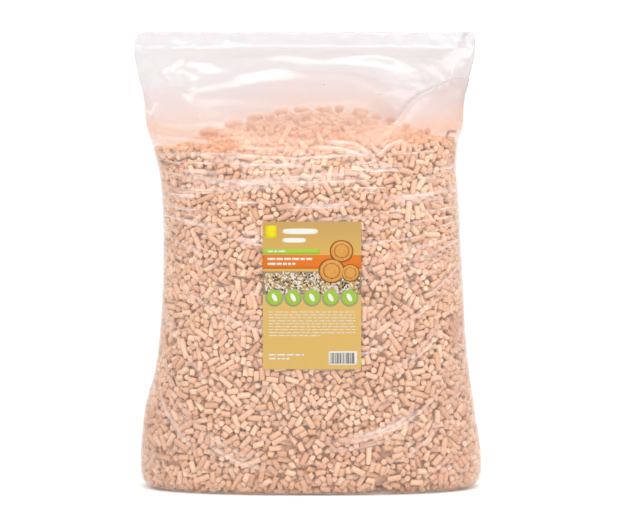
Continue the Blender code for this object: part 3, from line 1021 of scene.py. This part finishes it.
def extruded_softwood(own_grain):
    """Extruded softwood litter: sawdust pressed through a die. The sides are burnished in streaks along the
    pellet, the grain is short fibres of a few tenths of a millimetre, and no two pellets match in tone."""
    name = "extruded softwood sawdust"
    look = new_material(name if own_grain else name + ", single pellets")
    if own_grain:
        place = add(look, "ShaderNodeAttribute", {"attribute_name": "grain"}).outputs["Vector"]
        # random tone of each pellet, lifted as painted fill light for the pellets behind the outer layer
        tone = add(look, "ShaderNodeAttribute", {"attribute_name": "tint_and_painted_fill"}).outputs["Fac"]
    else:
        place = add(look, "ShaderNodeTexCoord").outputs["Object"]
        tone = add(look, "ShaderNodeTexNoise", None, Vector=place, Scale=60.0, Detail=1.0).outputs["Fac"]
    body = ramp(look, tone, (0.05, "#CE9D7C"), (0.35, "#DAAB88"), (0.65, "#E3BA99"), (0.95, "#ECCDAF"))
    streaks = add(look, "ShaderNodeMapping", None, Vector=place, Scale=(260, 1500, 1500)).outputs["Vector"]
    fibre = add(
        look, "ShaderNodeTexNoise", None, Vector=streaks, Scale=1.0, Detail=3.0, Roughness=0.65
    ).outputs["Fac"]
    blotch = add(look, "ShaderNodeTexNoise", None, Vector=place, Scale=420.0, Detail=2.0).outputs["Fac"]
    shade = ramp(look, fibre, (0.30, 0.70), (0.52, 1.0), (0.75, 1.10))
    first = add(look, "ShaderNodeMix", MULTIPLIED, i0=0.55, i6=body, i7=shade)
    patch = ramp(look, blotch, (0.32, 0.80), (0.55, 1.0))
    colour = add(look, "ShaderNodeMix", MULTIPLIED, i0=0.5, i6=first.outputs[2], i7=patch)
    specks = add(look, "ShaderNodeTexNoise", None, Vector=place, Scale=1150.0, Detail=1.0).outputs["Fac"]
    bark = ramp(look, specks, (0.70, 0.0), (0.76, 1.0))
    colour = add(look, "ShaderNodeMix", BLENDED, i0=bark, i6=colour.outputs[2], i7=linear("#8E5F42"))
    height = add(
        look, "ShaderNodeBump", None, Height=fibre, Strength=0.55, Distance=0.25 * MM
    ).outputs["Normal"]
    shader = add(
        look, "ShaderNodeBsdfPrincipled", None, Base_Color=colour.outputs[2], Roughness=0.62, Normal=height
    )
    shader.inputs["Specular IOR Level"].default_value = 0.35
    add(look, "ShaderNodeOutputMaterial", None, Surface=shader.outputs[0])
    return look


def shaded_load():
    """The same litter deep in the load, where little light comes: darker, redder and with soft lumps."""
    look = new_material("extruded softwood sawdust, deep in the load")
    place = add(look, "ShaderNodeTexCoord").outputs["Object"]
    lumps = add(look, "ShaderNodeTexVoronoi", None, Vector=place, Scale=170.0).outputs["Distance"]
    colour = ramp(look, lumps, (0.05, "#DBB396"), (0.7, "#BC9073"))
    bump = add(
        look, "ShaderNodeBump", {"invert": True}, Height=lumps, Strength=0.8, Distance=2 * MM
    ).outputs["Normal"]
    shader = add(look, "ShaderNodeBsdfPrincipled", None, Base_Color=colour, Roughness=0.85, Normal=bump)
    add(look, "ShaderNodeOutputMaterial", None, Surface=shader.outputs[0])
    return look


def blown_polyethylene():
    """Clear blown polyethylene film, 0.1 mm: thin enough to show no colour of its own. It shines at a slant,
    its fine rucks catch the lamps in streaks, and where nothing touches its back it looks milky. Its milk
    carries painted light too: white painted highlights along the ruck tops and ridge tops, a warm tint of
    wood dust and painted bounce light from the pellets, and brown painted shade in creases and corners."""
    look = new_material("clear blown polyethylene film")
    haze = add(look, "ShaderNodeAttribute", {"attribute_name": "haze"}).outputs["Fac"]
    flow = add(look, "ShaderNodeAttribute", {"attribute_name": "flow"}).outputs["Vector"]
    place = add(look, "ShaderNodeTexCoord").outputs["Object"]
    cling = add(look, "ShaderNodeAttribute", {"attribute_name": "cling"}).outputs["Fac"]
    dust_and_bounce = add(look, "ShaderNodeAttribute", {"attribute_name": "dust_and_bounce"}).outputs["Fac"]
    long_rucks = add(look, "ShaderNodeMapping", None, Vector=flow, Scale=(13, 210, 13)).outputs["Vector"]
    rucks = add(
        look, "ShaderNodeTexNoise", None, Vector=long_rucks, Scale=1.0, Detail=2.0, Roughness=0.5
    ).outputs["Fac"]
    peaks = ramp(look, rucks, (0.50, 0.0), (0.80, 1.0))
    # painted highlight: thin white lines on the tops of the rucks
    painted_ruck_highlight = ramp(look, rucks, (0.58, 0.0), (0.67, 1.0))
    held = add(look, "ShaderNodeMath", {"operation": "MULTIPLY"}, i0=peaks, i1=cling).outputs[0]
    # painted highlight: white streaks where the film clings, and along the ridge tops
    pale = add(look, "ShaderNodeMath", {"operation": "MULTIPLY"}, i0=painted_ruck_highlight, i1=cling).outputs[0]
    painted_ridge_highlight = add(look, "ShaderNodeAttribute", {"attribute_name": "painted_ridge_highlight"}).outputs["Fac"]
    pale = add(look, "ShaderNodeMath", {"operation": "MAXIMUM"}, i0=pale, i1=painted_ridge_highlight).outputs[0]
    # painted shade: more veil where creases and corners are darkened
    shade = add(look, "ShaderNodeAttribute", {"attribute_name": "shade"}).outputs["Fac"]
    dimples = add(look, "ShaderNodeTexNoise", None, Vector=place, Scale=110.0, Detail=1.0).outputs["Fac"]
    relief = add(look, "ShaderNodeMath", MULTIPLY_ADD, i0=dimples, i1=0.22, i2=held).outputs[0]
    bump = add(look, "ShaderNodeBump", None, Height=relief, Strength=0.9, Distance=1.1 * MM).outputs["Normal"]
    edge = add(look, "ShaderNodeLayerWeight", None, Blend=0.35, Normal=bump).outputs["Facing"]
    veil = add(look, "ShaderNodeMath", MULTIPLY_ADD, i0=edge, i1=0.16, i2=haze).outputs[0]
    veil = add(look, "ShaderNodeMath", MULTIPLY_ADD, i0=pale, i1=0.66, i2=veil).outputs[0]
    veil = add(
        look, "ShaderNodeMath", {"operation": "MULTIPLY_ADD", "use_clamp": True}, i0=shade, i1=0.6, i2=veil
    ).outputs[0]
    # wood dust and painted bounce light: the milk turns from grey-white to peach towards the heap and over
    # the body
    tone = ramp(look, dust_and_bounce, (0.0, "#D9D6D8"), (0.35, "#D9CACA"), (0.55, "#E3C6BA"), (1.0, "#E8B393"))
    # painted highlight: the milk turns near white along the streaks
    tone = add(look, "ShaderNodeMix", BLENDED, i0=pale, i6=tone, i7=linear("#FCF6F6")).outputs[2]
    # painted shade: the milk turns brown in the creases and dim corners
    tone = add(look, "ShaderNodeMix", BLENDED, i0=shade, i6=tone, i7=linear("#8A6252")).outputs[2]
    clear = add(look, "ShaderNodeBsdfTransparent", None, Color=linear("#FEFDFD")).outputs[0]
    lit = add(look, "ShaderNodeBsdfDiffuse", None, Color=tone, Normal=bump).outputs[0]
    through = add(look, "ShaderNodeBsdfTranslucent", None, Color=tone, Normal=bump).outputs[0]
    milk = add(look, "ShaderNodeMixShader", None, Fac=0.5, i1=lit, i2=through).outputs[0]
    film = add(look, "ShaderNodeMixShader", None, Fac=veil, i1=clear, i2=milk).outputs[0]
    gloss = add(
        look, "ShaderNodeBsdfGlossy", None, Color=linear("#FFFFFF"), Roughness=0.19, Normal=bump
    ).outputs[0]
    slant = add(look, "ShaderNodeLayerWeight", None, Blend=0.5, Normal=bump).outputs["Facing"]
    steep = add(look, "ShaderNodeMath", {"operation": "POWER"}, i0=slant, i1=5.0).outputs[0]
    mirror = add(look, "ShaderNodeMath", MULTIPLY_ADD, i0=steep, i1=0.75, i2=0.045).outputs[0]
    shader = add(look, "ShaderNodeMixShader", None, Fac=mirror, i1=film, i2=gloss)
    add(look, "ShaderNodeOutputMaterial", None, Surface=shader.outputs[0])
    return look


def hole_shadow():
    """What shows through a pin hole: the dim inside of the bag."""
    look = new_material("dim inside of the bag")
    place = add(look, "ShaderNodeTexCoord").outputs["Object"]
    mottle = add(look, "ShaderNodeTexNoise", None, Vector=place, Scale=900.0, Detail=1.0).outputs["Fac"]
    colour = ramp(look, mottle, (0.3, "#3A2A22"), (0.7, "#5C463A"))
    shader = add(look, "ShaderNodeBsdfDiffuse", None, Color=colour)
    add(look, "ShaderNodeOutputMaterial", None, Surface=shader.outputs[0])
    return look


def melted_burr():
    """Polyethylene melted and drawn up by the hot pin: whiter and duller than the film round it."""
    look = new_material("melted polyethylene burr")
    place = add(look, "ShaderNodeTexCoord").outputs["Object"]
    grain = add(look, "ShaderNodeTexNoise", None, Vector=place, Scale=1500.0, Detail=1.0).outputs["Fac"]
    colour = ramp(look, grain, (0.3, "#E8E4E2"), (0.7, "#F6F3F2"))
    shader = add(look, "ShaderNodeBsdfPrincipled", None, Base_Color=colour, Roughness=0.35)
    add(look, "ShaderNodeOutputMaterial", None, Surface=shader.outputs[0])
    return look


def label_stock():
    """Semi-gloss coated label paper printed all over in tan: an even colour that is a little deeper towards
    the top, a soft sheen, and the faint tooth of the paper."""
    look = new_material("coated label paper, tan print")
    place = add(look, "ShaderNodeTexCoord").outputs["Object"]
    high = add(look, "ShaderNodeSeparateXYZ", None, Vector=place).outputs["Z"]
    up = add(look, "ShaderNodeMapRange", None, Value=high)
    up.inputs["From Min"].default_value = float(LABEL_Z)
    up.inputs["From Max"].default_value = float(LABEL_HIGH[2])
    colour = ramp(look, up.outputs[0], (0.0, "#BD9B58"), (0.55, "#B9954E"), (1.0, "#AB8950"))
    tooth = add(look, "ShaderNodeTexNoise", None, Vector=place, Scale=2600.0, Detail=2.0).outputs["Fac"]
    bump = add(
        look, "ShaderNodeBump", None, Height=tooth, Strength=0.12, Distance=0.05 * MM
    ).outputs["Normal"]
    shader = add(look, "ShaderNodeBsdfPrincipled", None, Base_Color=colour, Roughness=0.5, Normal=bump)
    shader.inputs["Specular IOR Level"].default_value = 0.15
    add(look, "ShaderNodeOutputMaterial", None, Surface=shader.outputs[0])
    return look


def printing_ink(name, colour):
    """Offset ink on coated paper: flat and even, with the paper's sheen and a trace of dot gain."""
    look = new_material("offset ink, " + name)
    place = add(look, "ShaderNodeTexCoord").outputs["Object"]
    dots = add(look, "ShaderNodeTexNoise", None, Vector=place, Scale=2200.0, Detail=1.0).outputs["Fac"]
    gain = ramp(look, dots, (0.3, 0.93), (0.7, 1.0))
    tone = add(look, "ShaderNodeMix", MULTIPLIED, i0=1.0, i6=linear(colour), i7=gain)
    shader = add(look, "ShaderNodeBsdfPrincipled", None, Base_Color=tone.outputs[2], Roughness=0.5)
    shader.inputs["Specular IOR Level"].default_value = 0.15
    add(look, "ShaderNodeOutputMaterial", None, Surface=shader.outputs[0])
    return look


def studio_white(name, colour):
    look = new_material(name)
    place = add(look, "ShaderNodeTexCoord").outputs["Object"]
    mottle = add(look, "ShaderNodeTexNoise", None, Vector=place, Scale=3.0, Detail=2.0).outputs["Fac"]
    tone = add(look, "ShaderNodeMix", BLENDED, i0=mottle, i6=linear(colour), i7=linear("#FFFFFF"))
    paper = add(look, "ShaderNodeBsdfDiffuse", None, Color=tone.outputs[2]).outputs[0]
    glow = add(look, "ShaderNodeEmission", None, Color=tone.outputs[2], Strength=0.08).outputs[0]
    shader = add(look, "ShaderNodeAddShader", None, i0=paper, i1=glow)
    add(look, "ShaderNodeOutputMaterial", None, Surface=shader.outputs[0])
    return look


# ------------------------------------------------------------------------------------------
# The studio
# ------------------------------------------------------------------------------------------


def floor():
    """A white floor that sweeps up behind the bag in a quarter round."""
    half, radius, back = 6.0, 1.2, 3.0
    turn = np.linspace(0, math.pi / 2, 24)
    y = np.concatenate([[-6.0], back + radius * np.sin(turn), [back + radius]])
    z = np.concatenate([[0.0], radius * (1 - np.cos(turn)), [5.0]])
    x = np.array([-half, half])
    across = np.repeat(x[None, :], len(y), 0)
    points = np.stack([across, np.repeat(y[:, None], 2, 1), np.repeat(z[:, None], 2, 1)], -1)
    made = mesh_from("studio_floor", points.reshape(-1, 3), [grid_faces(len(y), 2, False)])
    made.data.materials.append(studio_white("white paper sweep", "#F6F6F6"))


def lamp(name, place, target, size, power, colour="#FFFFFF"):
    data = bpy.data.lights.new(name, "AREA")
    data.shape = "RECTANGLE"
    data.size, data.size_y = size
    data.energy = power
    data.color = linear(colour)[:3]
    made = bpy.data.objects.new(name, data)
    bpy.context.scene.collection.objects.link(made)
    made.location = place
    made.rotation_euler = (Vector(target) - Vector(place)).to_track_quat("-Z", "Y").to_euler()


def studio():
    scene = bpy.context.scene
    scene.view_settings.view_transform = "Standard"
    world = bpy.data.worlds.new("studio")
    scene.world = world
    world.use_nodes = True
    world.node_tree.nodes["Background"].inputs["Color"].default_value = (1, 1, 1, 1)
    world.node_tree.nodes["Background"].inputs["Strength"].default_value = 1.0
    lamp("top_softbox", (0.1, -1.0, 2.0), (0, 0, 0.25), (1.4, 0.7), 15)
    lamp("front_strip", (-0.1, -2.3, 1.75), (0, 0, 0.25), (2.2, 0.22), 13)
    lamp("left_panel", (-1.7, -1.4, 0.7), (0, 0, 0.25), (0.8, 1.3), 1)
    lamp("right_panel", (1.8, -1.2, 0.8), (0, 0, 0.25), (0.8, 1.3), 3.5)
    camera = bpy.data.cameras.new("camera")
    camera.lens = 97.4
    camera.sensor_width = 36
    made = bpy.data.objects.new("camera", camera)
    scene.collection.objects.link(made)
    made.location = (0.0015, -1.8, 0.238)
    made.rotation_euler = (math.pi / 2, 0, 0)
    scene.camera = made


def main():
    studio()
    floor()
    film, film_points = bag_film()
    film.data.materials.append(blown_polyethylene())
    burrs, holes = vent_burrs(film_points)
    burrs.data.materials.append(melted_burr())
    holes.data.materials.append(hole_shadow())
    wood = extruded_softwood(True)
    for made in pellet_layer():
        made.data.materials.append(wood)
    bed_core().data.materials.append(shaded_load())
    single = extruded_softwood(False)
    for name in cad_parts:
        if name.startswith("loose_pellet"):
            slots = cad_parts[name].material_slots
            for slot in slots:
                slot.material = single
    label_piece().data.materials.append(label_stock())
    label_print()


main()
